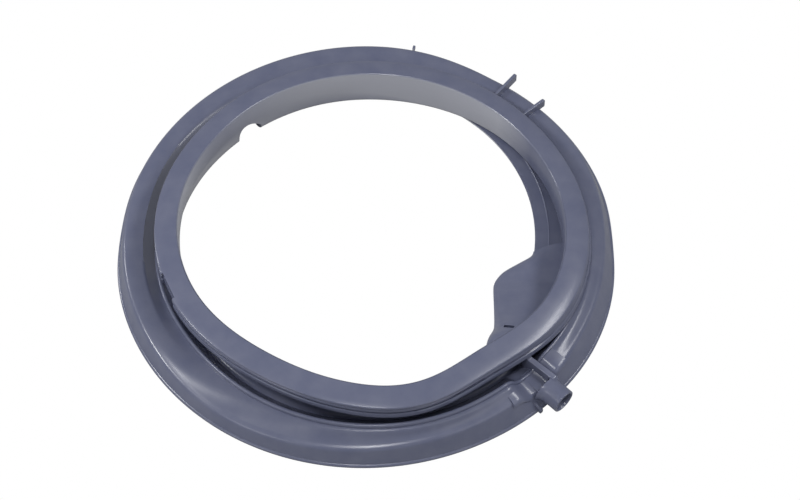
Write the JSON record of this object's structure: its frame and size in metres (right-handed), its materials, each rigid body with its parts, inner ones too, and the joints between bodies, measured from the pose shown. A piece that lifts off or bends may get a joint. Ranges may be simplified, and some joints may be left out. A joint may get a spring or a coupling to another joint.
{
  "type": "washing machine door seal",
  "caption": "Moulded rubber bellows ring that seals a front-loading washing machine's door opening, with a folded section, a water inlet hood and a side spout.",
  "frame": {"origin": "centre of the outer ring, on the surface that the rear side lies on", "axes": "+Z from the rear (drum) side to the front (door) side; the water spout points between +X and -Y"},
  "size_m": [0.3977, 0.4012, 0.0519],
  "materials": {
    "moulded_rubber": "satin moulded EPDM rubber, dark bluish grey"
  },
  "bodies": {
    "root": {"door_seal": "moulded_rubber"}
  },
  "joints": []
}
